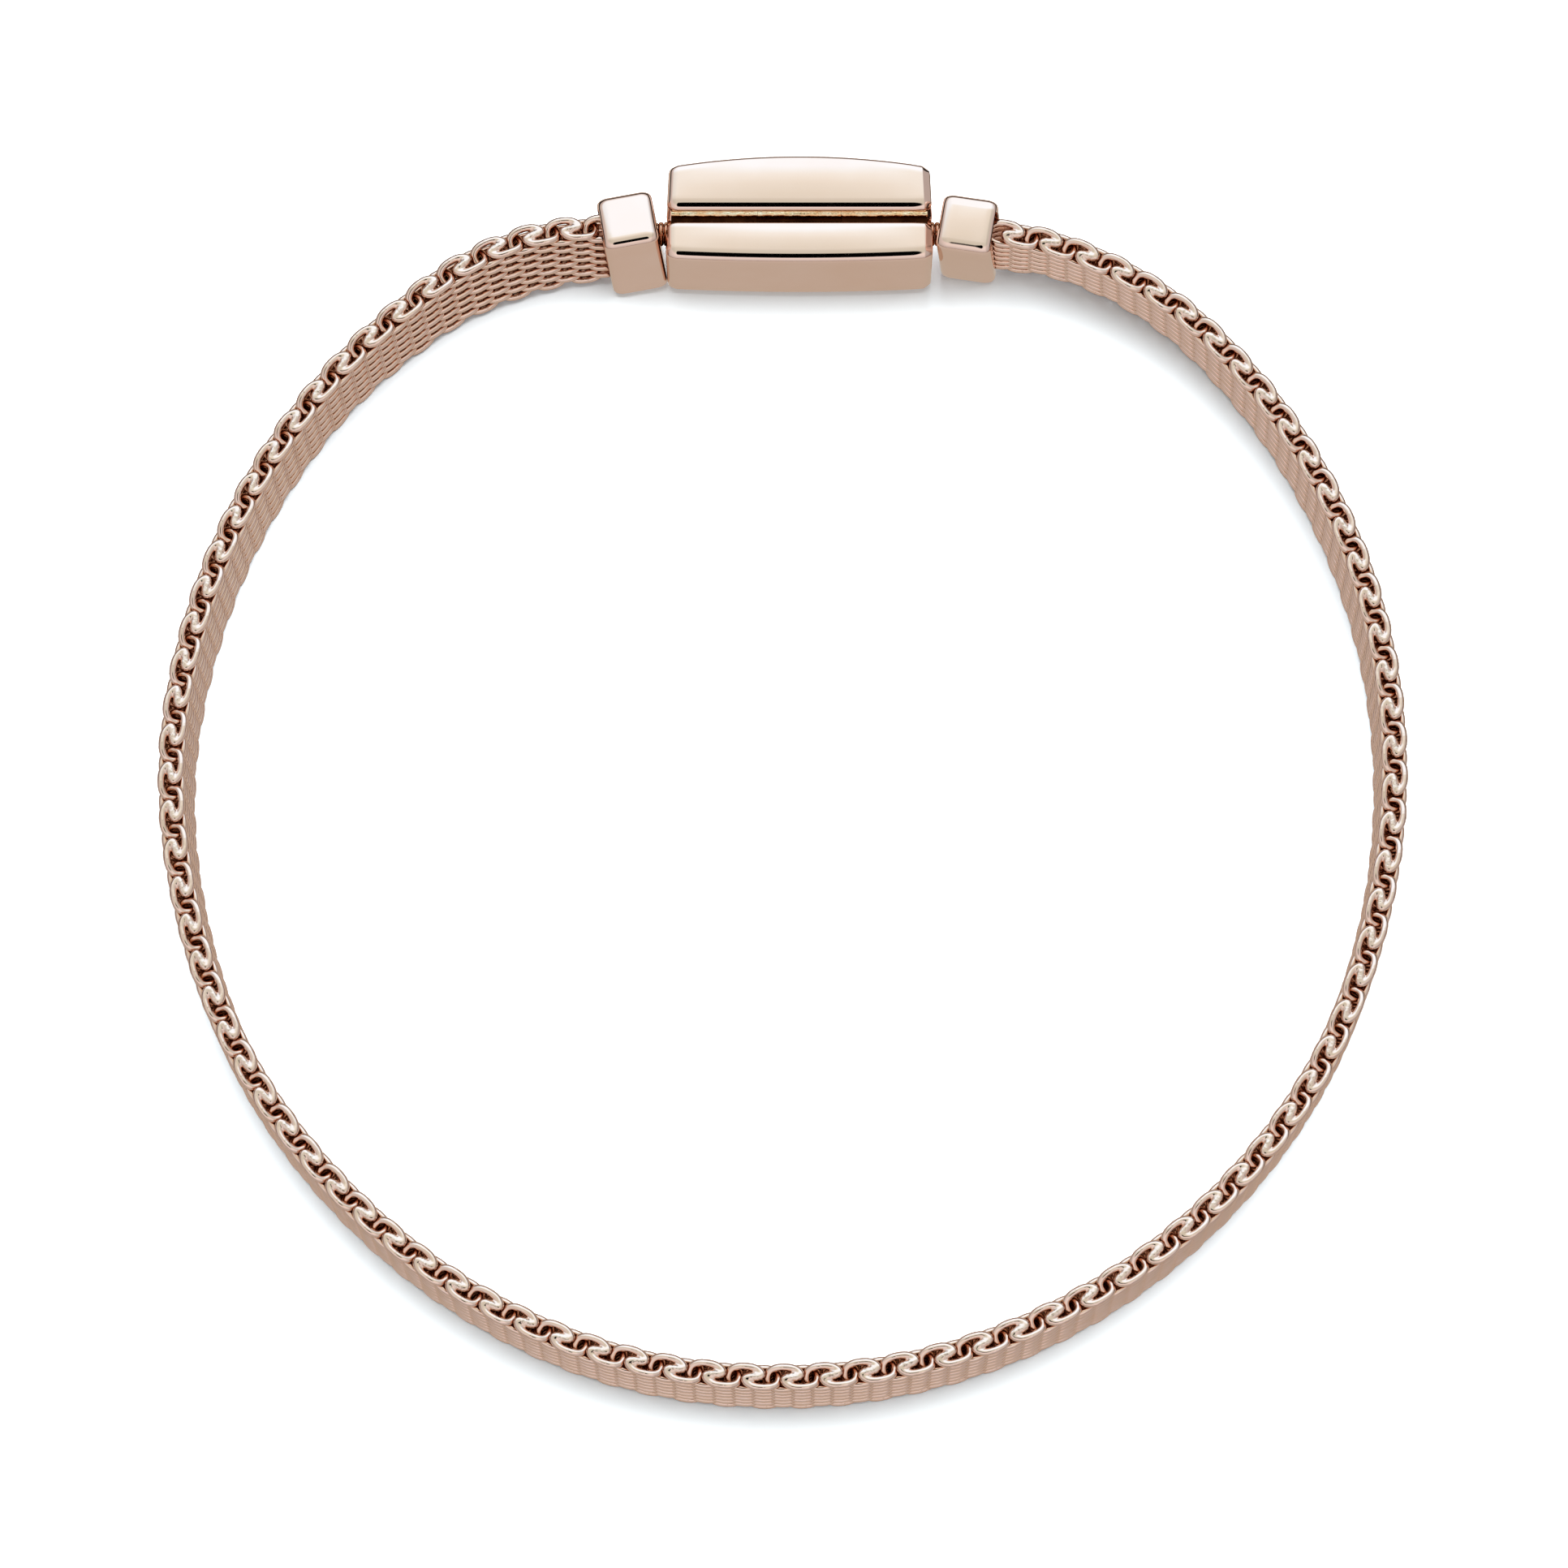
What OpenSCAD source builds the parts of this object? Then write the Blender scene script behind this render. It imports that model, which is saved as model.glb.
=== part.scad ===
// Mesh bracelet: a woven wire band closed by a two-part rectangular clasp.
// The ring stands on its lower edge. +Z is up, +Y points at the clasp,
// and the origin is under the middle of the ring, at the height of the surface it stands on.
// All lengths are in millimetres and all angles in degrees.

/* [Mesh band] */
// Width of the band, from its lower edge to its upper edge
band_w = 5.4; // [5.0:0.1:5.6]
// Thickness of the band
band_t = 1.3; // [1.1:0.05:1.4]
// Bevel along the band's four long edges
band_bevel = 0.25; // [0.15:0.05:0.4]
// Number of sections along the band
band_steps = 108; // [72:6:132]

/* [End beads] */
// Length of a bead along the band
bead_l = 2.74; // [2.6:0.02:2.8]
// Depth of a bead, from its inner to its outer face
bead_d = 2.82; // [2.6:0.02:2.9]
// Height of a bead
bead_h = 6.0; // [5.9:0.05:6.1]
// Radius of a bead's edges
bead_r = 0.45; // [0.3:0.05:0.5]
// How far the band goes into a bead
bead_pocket = 0.75; // [0.6:0.05:0.8]

/* [Clasp] */
// Length of the clasp at its seam
clasp_l = 13.1; // [12.9:0.1:13.1]
// Height of the clasp
clasp_h = 5.0; // [4.9:0.05:5.1]
// Height of the clasp's underside above the surface
clasp_lift = 0.5; // [0.4:0.05:0.6]
// Sideways place of the clasp's middle
clasp_x = 0.75; // [0.72:0.01:0.78]
// Place of the seam between the two halves
seam_y = 27.48; // [27.4:0.01:27.6]
// Depth of the outer half
lid_d = 3.27; // [3.1:0.01:3.3]
// Depth of the inner half
base_d = 2.24; // [2.1:0.01:2.3]
// How far the outer face bulges in its middle
lid_bow = 0.5; // [0.3:0.05:0.6]
// How far the inner face bulges in its middle
base_bow = 0.16; // [0.1:0.02:0.3]
// How much shorter the outer face is than the seam
lid_taper = 0.4; // [0.2:0.1:0.6]
// Radius of the clasp's edges
clasp_r = 0.42; // [0.3:0.02:0.5]
// Gap between the two halves
seam_gap = 0.04; // [0.02:0.01:0.06]

/* [Hinge] */
// Depth of the hinge axis below the clasp's upper face
axis_depth = 0.45; // [0.42:0.01:0.5]
// Distance of the hinge axis from the seam, on the outer half's side
axis_out = 0.345; // [0.335:0.005:0.35]
// Outer radius of the hinge knuckles
knuckle_r = 0.15; // [0.14:0.005:0.155]
// Radius of the hinge pin
pin_r = 0.08; // [0.06:0.01:0.08]
// Radial clearance round the pin
pin_clear = 0.02; // [0.01:0.01:0.02]
// Length of the whole hinge barrel
barrel_l = 12.6; // [12:0.1:12.6]
// Length of the outer half's middle knuckle
mid_knuckle = 4.1; // [3.5:0.1:5]
// Distance from the seam to the groove's wall on the outer half
lid_wall = 0.53; // [0.52:0.005:0.54]
// Distance from the seam to the groove's wall on the inner half
base_wall = 0.22; // [0.2:0.01:0.26]
// Radius of the outer half's upper edge along the groove
lid_lip = 0.40; // [0.36:0.02:0.5]
// Radius of the inner half's upper edge along the groove
base_lip = 0.12; // [0.08:0.02:0.16]

/* [Necks] */
// Radius of the neck between a bead and the clasp
neck_r = 0.6; // [0.5:0.02:0.62]
// Radius of the knob on the neck's end, inside the clasp
knob_r = 1.05; // [0.9:0.05:1.1]
// Length of the knob
knob_l = 1.15; // [0.9:0.05:1.2]
// Clearance round the neck and knob
neck_clear = 0.07; // [0.05:0.01:0.09]

/* [Latch] */
// Width of the latch tongue
tongue_w = 3.0; // [2:0.1:4]
// Thickness of the latch tongue
tongue_t = 0.5; // [0.4:0.05:0.6]
// Reach of the latch tongue into the inner half
tongue_reach = 0.6; // [0.4:0.05:0.7]

/* [Hidden] */
rose = [0.86, 0.66, 0.57];
rose_dark = [0.74, 0.54, 0.46];

// Route of the band's upper edge, seen from above, from the left bead round to the right one.
// Columns: angle from +X, counter-clockwise; distance from the origin to the middle of the
// thickness; lean of the band (+ when its lower edge stands further out); height of the
// lower edge above the surface.
ANG = 0; DIST = 1; LEAN = 2; LIFT = 3;
route = [
  [107.0, 28.25, -5.0, 0.35],
  [110.0, 28.67, -5.7, 0.33],
  [113.0, 29.10, -6.9, 0.30],
  [116.5, 29.43, -7.4, 0.25],
  [120.0, 29.61, -6.5, 0.19],
  [124.0, 29.64, -4.7, 0.12],
  [129.0, 29.52, -2.8, 0.05],
  [137.0, 29.44, -1.2, 0.00],
  [150.0, 29.31, -1.0, 0.00],
  [165.0, 29.32, -1.5, 0.00],
  [180.0, 29.50, -1.7, 0.00],
  [195.0, 29.52, -1.5, 0.00],
  [210.0, 29.66, -1.2, 0.00],
  [225.0, 29.72, -0.8, 0.00],
  [240.0, 29.90, -0.6, 0.00],
  [255.0, 30.03, 0.0, 0.00],
  [270.0, 30.00, 0.0, 0.00],
  [285.0, 29.92, 0.0, 0.00],
  [300.0, 29.80, 0.0, 0.00],
  [315.0, 29.72, -0.6, 0.00],
  [330.0, 29.62, -0.6, 0.00],
  [345.0, 29.40, 0.0, 0.00],
  [360.0, 29.38, 0.2, 0.00],
  [375.0, 29.50, 0.8, 0.00],
  [390.0, 29.71, 2.0, 0.00],
  [402.0, 29.88, 4.0, 0.04],
  [410.0, 29.93, 5.8, 0.10],
  [416.0, 29.74, 7.0, 0.17],
  [420.5, 29.47, 7.2, 0.23],
  [424.0, 29.20, 6.4, 0.28],
  [427.0, 28.88, 4.8, 0.31],
  [430.0, 28.56, 2.8, 0.33]
];

// Beads. Columns: side; middle in x, y and z; turn in plan; lean; tip (+ when the foot goes to +X).
beads = [
  ["left", -7.49, 26.96, 3.13, 9.5, -5.6, 3.0],
  ["right", 9.15, 27.18, 3.11, -9.5, 4.2, 3.0]
];

last = len(route) - 1;
function step_of(a, i = 0) = (i == last - 1 || a < route[i + 1][ANG]) ? i : step_of(a, i + 1);
function rate(c, i) =
  let (p = max(i - 1, 0), n = min(i + 1, last))
  (route[n][c] - route[p][c]) / (route[n][ANG] - route[p][ANG]);
// A column's value at any angle: a smooth curve through the table's rows
function at(a, c) =
  let (i = step_of(a),
       h = route[i + 1][ANG] - route[i][ANG],
       u = (a - route[i][ANG]) / h,
       v0 = route[i][c], v1 = route[i + 1][c],
       m0 = rate(c, i) * h, m1 = rate(c, i + 1) * h)
  v0 * (2 * u * u * u - 3 * u * u + 1) + m0 * (u * u * u - 2 * u * u + u)
  + v1 * (3 * u * u - 2 * u * u * u) + m1 * (u * u * u - u * u);
function plan(a) = at(a, DIST) * [cos(a), sin(a)];
// Heading of the outward side of the band, in plan
function heading(a) =
  let (d = plan(a + 0.2) - plan(a - 0.2)) atan2(d[1], d[0]) - 90;
function route_top(a) =
  max(at(a, LIFT), 0) + band_w * cos(at(a, LEAN)) + (band_t / 2 - band_bevel) * abs(sin(at(a, LEAN)));
// A point of the band's section: r outwards and w upwards from the middle of the upper edge
function on_band(a, r, w) =
  let (h = heading(a), l = at(a, LEAN), p = plan(a),
       out = r * cos(l) - w * sin(l), up = r * sin(l) + w * cos(l))
  [p[0] + out * cos(h), p[1] + out * sin(h), route_top(a) + up];

// Eight corners of the band's bevelled section, counter-clockwise seen along the route
function band_section() =
  let (t = band_t / 2, b = band_bevel, w = band_w)
  [[t, -b], [t - b, 0], [b - t, 0], [-t, -b], [-t, b - w], [b - t, -w], [t - b, -w], [t, b - w]];

module ribbon() {
  s = band_section();
  k = len(s);
  a0 = route[0][ANG];
  a1 = route[last][ANG];
  pts = [for (i = [0 : band_steps]) let (a = a0 + (a1 - a0) * i / band_steps)
         for (q = s) on_band(min(max(a, a0 + 0.0001), a1 - 0.0001), q[0], q[1])];
  sides = [for (i = [0 : band_steps - 1]) for (j = [0 : k - 1])
           let (n = (j + 1) % k)
           [i * k + j, i * k + n, (i + 1) * k + n, (i + 1) * k + j]];
  polyhedron(points = pts,
             faces = concat(sides, [[for (j = [k - 1 : -1 : 0]) j]],
                            [[for (j = [0 : k - 1]) band_steps * k + j]]),
             convexity = 12);
}

module mesh_band() {
  color(rose) ribbon();
}

// A box with rounded edges, centred on the origin
module rounded_box(l, d, h, r) {
  hull()
    for (x = [-1, 1], y = [-1, 1], z = [-1, 1])
      translate([x * (l / 2 - r), y * (d / 2 - r), z * (h / 2 - r)]) sphere(r = r, $fn = 24);
}

module bead_place(b) {
  translate([b[1], b[2], b[3]])
    rotate([0, 0, b[4]]) rotate([b[5], 0, 0]) rotate([0, -b[6], 0]) children();
}

module neck_line() {
  translate([clasp_x, seam_y, clasp_lift + clasp_h / 2]) children();
}

// One bead: a sleeve with a pocket for the band's end on one side and a hole for the neck on the other
module bead(b, side) {
  difference() {
    bead_place(b) rounded_box(bead_l, bead_d, bead_h, bead_r);
    bead_place(b)
      translate([side * (bead_l / 2 + 0.6), 0, 0])
        cube([2 * (bead_pocket + 0.6 + 0.14), band_t + 0.44, band_w + 0.24], center = true);
    neck_line()
      translate([side * clasp_l / 2, 0, 0])
        rotate([0, 90, 0]) cylinder(r = neck_r + 0.05, h = 2.0, center = true, $fn = 32);
  }
}

module end_bead_left() {
  color(rose) bead(beads[0], -1);
}

module end_bead_right() {
  color(rose) bead(beads[1], 1);
}

// Neck from a bead into the clasp, with a turned knob on its inner end
wall = 1.0;
module neck(side, reach) {
  neck_line()
    rotate([0, 0, side > 0 ? 0 : 180])
      rotate([0, 90, 0])
        rotate_extrude($fn = 40)
          polygon([[0, clasp_l / 2 - wall - neck_clear - knob_l],
                   [knob_r - 0.2, clasp_l / 2 - wall - neck_clear - knob_l],
                   [knob_r, clasp_l / 2 - wall - neck_clear - knob_l + 0.2],
                   [knob_r, clasp_l / 2 - wall - neck_clear],
                   [neck_r, clasp_l / 2 - wall - neck_clear],
                   [neck_r, clasp_l / 2 + reach],
                   [0, clasp_l / 2 + reach]]);
}

module link_left() {
  color(rose_dark) neck(-1, 0.85);
}

module link_right() {
  color(rose_dark) neck(1, 0.85);
}

// Outline of a clasp half in plan. The seam is on the X axis and the face bulges to +Y.
function half_outline(l, face_l, depth, bow, r, n = 12) =
  let (e = face_l / 2, s = l / 2, y0 = depth - bow)
  concat(
    [[-s, 0], [s, 0]],
    [for (k = [0 : 4]) let (t = 22.5 * k) [e - r + r * cos(t), y0 - r + r * sin(t)]],
    [for (i = [1 : n - 1]) let (x = (e - r) * (1 - 2 * i / n))
      [x, y0 + bow * (1 - pow(x / (e - r), 2))]],
    [for (k = [0 : 4]) let (t = 90 + 22.5 * k) [-e + r + r * cos(t), y0 - r + r * sin(t)]]);

// Section of a clasp half across its length: depth d, edge radius r, and the step at the
// seam that makes room for the hinge barrel, with its wall at g and its upper edge of radius m
function half_section(d, r, g, m) =
  let (z = clasp_h, f = clasp_h - axis_depth - knuckle_r)
  concat(
    [[seam_gap / 2 + 0.12, 0], [seam_gap / 2, 0.12]],
    [[seam_gap / 2, f - 0.09], [g, f - 0.05]],
    [for (k = [0 : 4]) let (t = 180 - 22.5 * k) [g + m + m * cos(t), z - m + m * sin(t)]],
    [for (k = [0 : 4]) let (t = 90 - 22.5 * k) [d - r + r * cos(t), z - r + r * sin(t)]],
    [for (k = [0 : 4]) let (t = -22.5 * k) [d - r + r * cos(t), r + r * sin(t)]]);

function end_section(l, r) =
  [for (c = [[l / 2 - r, clasp_h - r, 0], [r - l / 2, clasp_h - r, 90], [r - l / 2, r, 180], [l / 2 - r, r, 270]])
    for (k = [0 : 4]) let (t = c[2] + 22.5 * k) [c[0] + r * cos(t), c[1] + r * sin(t)]];

module half_body(face_l, depth, bow, wall, lip) {
  intersection() {
    linear_extrude(height = clasp_h) polygon(half_outline(clasp_l, face_l, depth, bow, clasp_r));
    rotate([90, 0, 90]) translate([0, 0, -clasp_l])
      linear_extrude(height = 2 * clasp_l) polygon(half_section(depth, clasp_r, wall, lip));
    rotate([90, 0, 0]) translate([0, 0, -2 * depth])
      linear_extrude(height = 4 * depth) polygon(end_section(clasp_l, clasp_r * 0.8));
  }
}

// Room for the neck and the knob at one end of a clasp half
module knob_room(side) {
  translate([side * (clasp_l / 2 - wall - neck_clear - knob_l / 2), 0, clasp_h / 2]) rotate([0, 90, 0])
    cylinder(r = knob_r + neck_clear, h = knob_l + 2 * neck_clear, center = true, $fn = 48);
  translate([side * clasp_l / 2, 0, clasp_h / 2]) rotate([0, 90, 0])
    cylinder(r = neck_r + neck_clear, h = 2 * wall + 1, center = true, $fn = 48);
}

module on_axis(x0, x1, r) {
  translate([x0, axis_out, clasp_h - axis_depth]) rotate([0, 90, 0]) cylinder(r = r, h = x1 - x0, $fn = 32);
}

// Web that joins a knuckle to its half, from y0 to y1
module web(x0, x1, y0, y1) {
  translate([x0, y0, clasp_h - axis_depth - 0.155]) cube([x1 - x0, y1 - y0, 0.135]);
}

module clasp_place() {
  translate([clasp_x, seam_y, clasp_lift]) children();
}

// Inner half: two outer knuckles and the slot for the latch
module clasp_base() {
  color(rose)
    clasp_place()
      difference() {
        union() {
          mirror([0, 1, 0]) half_body(clasp_l, base_d, base_bow, base_wall, base_lip);
          for (s = [[-barrel_l / 2, -mid_knuckle / 2 - 0.05], [mid_knuckle / 2 + 0.05, barrel_l / 2]]) {
            on_axis(s[0], s[1], knuckle_r);
            web(s[0], s[1], -base_wall - 0.15, axis_out);
          }
        }
        on_axis(-clasp_l, clasp_l, pin_r + pin_clear);
        for (side = [-1, 1]) knob_room(side);
        translate([-tongue_w / 2 - 0.15, -tongue_reach - 0.15, 0.38])
          cube([tongue_w + 0.3, tongue_reach + 1, tongue_t + 0.27]);
      }
}

// Outer half: the middle knuckle and the latch tongue
module clasp_lid() {
  color(rose)
    clasp_place()
      difference() {
        union() {
          half_body(clasp_l - lid_taper, lid_d, lid_bow, lid_wall, lid_lip);
          on_axis(-mid_knuckle / 2, mid_knuckle / 2, knuckle_r);
          web(-mid_knuckle / 2, mid_knuckle / 2, axis_out, lid_wall + 0.15);
          translate([-tongue_w / 2, -tongue_reach, 0.5]) cube([tongue_w, tongue_reach + 0.6, tongue_t]);
        }
        on_axis(-clasp_l, clasp_l, pin_r + pin_clear);
        for (side = [-1, 1]) knob_room(side);
      }
}

module hinge_pin() {
  color(rose_dark)
    clasp_place() on_axis(-barrel_l / 2, barrel_l / 2, pin_r);
}

mesh_band();
end_bead_left();
end_bead_right();
link_left();
link_right();
clasp_base();
clasp_lid();
hinge_pin();
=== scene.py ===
"""Looks for the mesh bracelet: the woven band, its two end beads, the necks and the two-part clasp.

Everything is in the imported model's frame. The numbers below are millimetres and degrees, and the
meshes are written in metres. The band is one long wire: flat spiral coils that hook through each
other, closed along both edges by small soldered turns.
"""
import math

import bmesh
import bpy
import numpy as np
from mathutils import Matrix, Vector


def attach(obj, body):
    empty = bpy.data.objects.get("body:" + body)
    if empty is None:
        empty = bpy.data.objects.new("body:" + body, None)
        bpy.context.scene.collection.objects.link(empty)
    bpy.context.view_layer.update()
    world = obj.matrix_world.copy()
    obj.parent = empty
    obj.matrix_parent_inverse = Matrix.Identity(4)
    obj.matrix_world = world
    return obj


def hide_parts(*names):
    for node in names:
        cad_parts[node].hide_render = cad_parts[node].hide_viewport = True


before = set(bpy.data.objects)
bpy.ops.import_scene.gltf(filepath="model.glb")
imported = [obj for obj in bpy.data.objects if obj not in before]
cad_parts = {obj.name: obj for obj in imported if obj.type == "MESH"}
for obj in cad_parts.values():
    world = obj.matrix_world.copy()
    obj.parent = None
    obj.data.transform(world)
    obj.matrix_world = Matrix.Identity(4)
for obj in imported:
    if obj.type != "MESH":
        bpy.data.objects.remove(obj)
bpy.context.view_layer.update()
MM = 0.001

# ---------------------------------------------------------------- the band's route
BAND_W, BAND_T, BEVEL = 5.4, 1.3, 0.25
ROUTE = np.array([
    [107.0, 28.25, -5.0, 0.35],
    [110.0, 28.67, -5.7, 0.33],
    [113.0, 29.10, -6.9, 0.30],
    [116.5, 29.43, -7.4, 0.25],
    [120.0, 29.61, -6.5, 0.19],
    [124.0, 29.64, -4.7, 0.12],
    [129.0, 29.52, -2.8, 0.05],
    [137.0, 29.44, -1.2, 0.00],
    [150.0, 29.31, -1.0, 0.00],
    [165.0, 29.32, -1.5, 0.00],
    [180.0, 29.50, -1.7, 0.00],
    [195.0, 29.52, -1.5, 0.00],
    [210.0, 29.66, -1.2, 0.00],
    [225.0, 29.72, -0.8, 0.00],
    [240.0, 29.90, -0.6, 0.00],
    [255.0, 30.03, 0.0, 0.00],
    [270.0, 30.00, 0.0, 0.00],
    [285.0, 29.92, 0.0, 0.00],
    [300.0, 29.80, 0.0, 0.00],
    [315.0, 29.72, -0.6, 0.00],
    [330.0, 29.62, -0.6, 0.00],
    [345.0, 29.40, 0.0, 0.00],
    [360.0, 29.38, 0.2, 0.00],
    [375.0, 29.50, 0.8, 0.00],
    [390.0, 29.71, 2.0, 0.00],
    [402.0, 29.88, 4.0, 0.04],
    [410.0, 29.93, 5.8, 0.10],
    [416.0, 29.74, 7.0, 0.17],
    [420.5, 29.47, 7.2, 0.23],
    [424.0, 29.20, 6.4, 0.28],
    [427.0, 28.88, 4.8, 0.31],
    [430.0, 28.56, 2.8, 0.33],
])
DIST, LEAN, LIFT = 1, 2, 3


def hermite(x, xs, ys):
    """A smooth curve through (xs, ys), with each slope taken from the neighbours."""
    x = np.asarray(x, float)
    n = len(xs)
    lo = np.maximum(np.arange(n) - 1, 0)
    hi = np.minimum(np.arange(n) + 1, n - 1)
    rate = (ys[hi] - ys[lo]) / (xs[hi] - xs[lo])
    i = np.clip(np.searchsorted(xs, x, side="right") - 1, 0, n - 2)
    h = xs[i + 1] - xs[i]
    u = (x - xs[i]) / h
    return (ys[i] * (2 * u**3 - 3 * u * u + 1) + rate[i] * h * (u**3 - 2 * u * u + u)
            + ys[i + 1] * (3 * u * u - 2 * u**3) + rate[i + 1] * h * (u**3 - u * u))


def at(a, column):
    return hermite(a, ROUTE[:, 0], ROUTE[:, column])


def plan(a):
    return at(a, DIST)[..., None] * np.stack([np.cos(np.radians(a)), np.sin(np.radians(a))], -1)


def on_band(a, r, w):
    """The point r outwards and w upwards from the middle of the band's upper edge."""
    d = plan(a + 0.2) - plan(a - 0.2)
    h = np.arctan2(d[..., 1], d[..., 0]) - np.pi / 2
    lean = np.radians(at(a, LEAN))
    p = plan(a)
    out = r * np.cos(lean) - w * np.sin(lean)
    up = r * np.sin(lean) + w * np.cos(lean)
    top = (np.maximum(at(a, LIFT), 0) + BAND_W * np.cos(lean)
           + (BAND_T / 2 - BEVEL) * np.abs(np.sin(lean)))
    return np.stack([p[..., 0] + out * np.cos(h), p[..., 1] + out * np.sin(h), top + up], -1)


_a = np.linspace(ROUTE[0, 0], ROUTE[-1, 0], 20000)
_p = plan(_a)
_s = np.concatenate([[0.0], np.cumsum(np.hypot(*np.diff(_p, axis=0).T))])


def angle_at(s):
    return np.interp(s, _s, _a)


# ---------------------------------------------------------------- small mesh tools
def new_object(name, verts, faces, smooth=True):
    me = bpy.data.meshes.new(name)
    me.from_pydata((np.asarray(verts) * MM).tolist(), [], [list(map(int, f)) for f in faces])
    me.validate()
    me.update()
    if smooth:
        me.shade_smooth()
    o = bpy.data.objects.new(name, me)
    bpy.context.scene.collection.objects.link(o)
    return o


def quad_object(name, verts, quads, tris=None):
    """A large mesh of quads and triangles, written with arrays."""
    quads = np.asarray(quads, np.int32).reshape(-1, 4)
    tris = np.zeros((0, 3), np.int32) if tris is None else np.asarray(tris, np.int32).reshape(-1, 3)
    loops = np.concatenate([quads.ravel(), tris.ravel()])
    starts = np.concatenate([np.arange(len(quads)) * 4, len(quads) * 4 + np.arange(len(tris)) * 3])
    me = bpy.data.meshes.new(name)
    me.vertices.add(len(verts))
    me.vertices.foreach_set("co", (np.asarray(verts, float) * MM).astype(np.float32).ravel())
    me.loops.add(len(loops))
    me.loops.foreach_set("vertex_index", loops)
    me.polygons.add(len(starts))
    me.polygons.foreach_set("loop_start", starts.astype(np.int32))
    me.update(calc_edges=True)
    me.validate()
    me.shade_smooth()
    o = bpy.data.objects.new(name, me)
    bpy.context.scene.collection.objects.link(o)
    return o


def tube(points, up, radius, sides, squash=1.0):
    """Rings round a path. up holds the cross-section's upright direction at each point."""
    p = np.asarray(points, float)
    t = np.gradient(p, axis=0)
    t /= np.linalg.norm(t, axis=1)[:, None]
    n = up - (up * t).sum(1)[:, None] * t
    n /= np.linalg.norm(n, axis=1)[:, None]
    b = np.cross(t, n)
    phi = np.arange(sides) * 2 * np.pi / sides
    rad = np.broadcast_to(radius, (len(p),))[:, None, None]
    ring = (np.cos(phi)[None, :, None] * n[:, None, :]
            + squash * np.sin(phi)[None, :, None] * b[:, None, :]) * rad
    verts = (p[:, None, :] + ring).reshape(-1, 3)
    i = np.arange(len(p) - 1)[:, None] * sides
    j = np.arange(sides)[None, :]
    k = (j + 1) % sides
    quads = np.stack([i + j, i + k, i + sides + k, i + sides + j], -1).reshape(-1, 4)
    return verts, quads


def caps(first, count, sides):
    """Fans that close a tube's two ends, whose rings start at first."""
    last = first + (count - 1) * sides
    a = [[first, first + j + 1, first + j] for j in range(1, sides - 1)]
    b = [[last, last + j, last + j + 1] for j in range(1, sides - 1)]
    return a + b


# ---------------------------------------------------------------- the woven band
WIRE = 0.18        # radius of the wire
HALF_L = 0.735     # half length of a coil, to the wire's middle
HALF_T = 0.485     # half thickness of a coil, to the wire's middle
STEP = 0.42        # fall of a coil in each half turn
TOP = -0.185       # height of the first turn below the band's upper edge
TURNS = 12         # half turns in a coil

# Places along the route of the openings between neighbouring turns, counted from the left bead
OPEN_N = np.array([0, 1, 2, 3, 5, 8, 12, 16, 20, 24, 28, 32, 36, 40, 44, 48, 52, 56, 60, 64, 68, 72,
                   76, 80, 83, 85, 87, 88], float)
OPEN_S = np.array([1.25, 3.13, 5.02, 6.92, 10.76, 16.46, 23.96, 31.5, 39.1, 46.66, 54.04, 61.52,
                   69.0, 76.4, 83.8, 91.12, 98.5, 106.02, 113.52, 121.16, 128.86, 136.44, 143.96,
                   151.56, 157.22, 161.0, 164.8, 166.68])


def place(n):
    """Place along the route of opening n, which may be a fraction."""
    return hermite(n, OPEN_N, OPEN_S)


def half_turn(count, early=0.0):
    """From the outer crest round the forward bend to the inner crest: along, outwards, fall."""
    th = np.linspace(0, np.pi, 1201)
    e = 2 / 2.45
    s = HALF_L * np.abs(np.sin(th)) ** e
    r = HALF_T * np.sign(np.cos(th)) * np.abs(np.cos(th)) ** e
    d = np.hypot(np.diff(s), np.diff(r))
    length = np.concatenate([[0], np.cumsum(d)])
    t = length / length[-1]
    w = -STEP * (t - 0.85 * np.sin(2 * np.pi * t) / (2 * np.pi) + early * np.sin(np.pi * t) ** 2)
    heading = np.unwrap(np.arctan2(np.gradient(r), np.gradient(s)))
    turn = np.abs(np.gradient(heading)) / np.maximum(np.gradient(length), 1e-6)
    dens = np.concatenate([[0], np.cumsum((1 + 0.28 * np.minimum(turn, 6))[1:] * d)])
    pick = np.interp(np.linspace(0, dens[-1], count + 1), dens, np.arange(len(th)))
    k = np.arange(len(th))
    return np.stack([np.interp(pick, k, s), np.interp(pick, k, r), np.interp(pick, k, w)], -1)


TURN_IN = half_turn(9)     # inside the band
TURN_FIRST = half_turn(14, 0.22)   # the first half turn dips sooner
TURN_LAST = half_turn(14)


def coil_down(first_sign):
    """One coil from its upper crest to its lower one. first_sign +1 starts on the outer face."""
    pts = []
    sign = first_sign
    for n in range(TURNS):
        q = TURN_FIRST if n == 0 else TURN_LAST if n == TURNS - 1 else TURN_IN
        q = q * np.array([sign, sign, 1.0]) + np.array([0, 0, TOP - STEP * n])
        pts.append(q if n == 0 else q[1:])
        sign = -sign
    return np.concatenate(pts)


JOIN_KEYS = np.array([
    [-0.47, 0.485, 0.183], [-0.26, 0.480, 0.183], [-0.06, 0.455, 0.183], [0.12, 0.400, 0.183],
    [0.265, 0.310, 0.184], [0.365, 0.205, 0.190], [0.395, 0.105, 0.200], [0.22, 0.030, 0.212],
    [0.0, 0.0, 0.215],
])


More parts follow.
